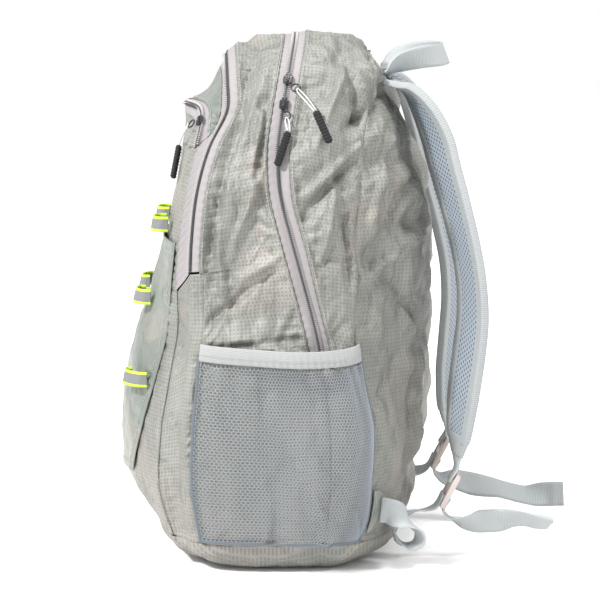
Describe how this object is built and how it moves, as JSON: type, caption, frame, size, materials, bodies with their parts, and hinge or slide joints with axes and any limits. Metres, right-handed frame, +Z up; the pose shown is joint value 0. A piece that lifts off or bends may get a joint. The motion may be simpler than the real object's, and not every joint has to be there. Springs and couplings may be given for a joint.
{
  "type": "backpack",
  "caption": "Light packable cloth backpack with zips round its top, a patch pocket and net side pockets, standing filled out with its shoulder straps behind it.",
  "frame": {"origin": "on the floor plane, at the middle of the flat base", "axes": "+X the wearer's right, -Y the front with the patch pocket, +Z up"},
  "size_m": [0.327, 0.4549, 0.517],
  "materials": {
    "ripstop": "thin crinkled weave",
    "light_cloth": "thin plain weave",
    "zip_tape": "woven tape",
    "zip_chain": "coil",
    "slider_metal": "dark paint",
    "pull_cord": "braided cord",
    "grip_rubber": "ribbed",
    "net": "stretch net",
    "elastic": "ribbed elastic",
    "air_mesh": "spacer mesh",
    "webbing": "ribbed webbing",
    "lock_plastic": "moulded",
    "lash_tape": "woven tape"
  },
  "bodies": {
    "root": {"front_body_panel": "ripstop", "back_body_panel": "ripstop", "front_panel": "ripstop", "back_panel": "ripstop", "gusset_right": "ripstop", "gusset_left": "ripstop", "bottom_panel": "ripstop", "slack_top_panel": "light_cloth", "front_patch_pocket": "light_cloth", "corner_tab_right": "light_cloth", "corner_tab_left": "light_cloth", "main_zip_tape": "zip_tape", "main_zip_chain": "zip_chain", "middle_zip_tape": "zip_tape", "middle_zip_chain": "zip_chain", "front_zip_tape": "zip_tape", "front_zip_chain": "zip_chain", "net_pocket_right": "net", "elastic_band_right": "elastic", "shoulder_strap_right": "air_mesh", "lower_webbing_right": "webbing", "strap_tail_right": "webbing", "ladder_lock_right": "lock_plastic", "lash_loop_right_1": "lash_tape", "lash_loop_right_2": "lash_tape", "lash_loop_right_3": "lash_tape", "net_pocket_left": "net", "elastic_band_left": "elastic", "shoulder_strap_left": "air_mesh", "lower_webbing_left": "webbing", "strap_tail_left": "webbing", "ladder_lock_left": "lock_plastic", "lash_loop_left_1": "lash_tape", "lash_loop_left_2": "lash_tape", "lash_loop_left_3": "lash_tape", "grab_handle": "webbing", "main_upper_slider": "slider_metal", "main_upper_pull_ring": "slider_metal", "main_upper_pull_cord": "pull_cord", "main_upper_pull_grip": "grip_rubber", "main_lower_slider": "slider_metal", "main_lower_pull_ring": "slider_metal", "main_lower_pull_cord": "pull_cord", "main_lower_pull_grip": "grip_rubber", "middle_slider": "slider_metal", "middle_pull_ring": "slider_metal", "middle_pull_cord": "pull_cord", "middle_pull_grip": "grip_rubber", "front_slider": "slider_metal", "front_pull_ring": "slider_metal", "front_pull_cord": "pull_cord", "front_pull_grip": "grip_rubber"}
  },
  "joints": []
}
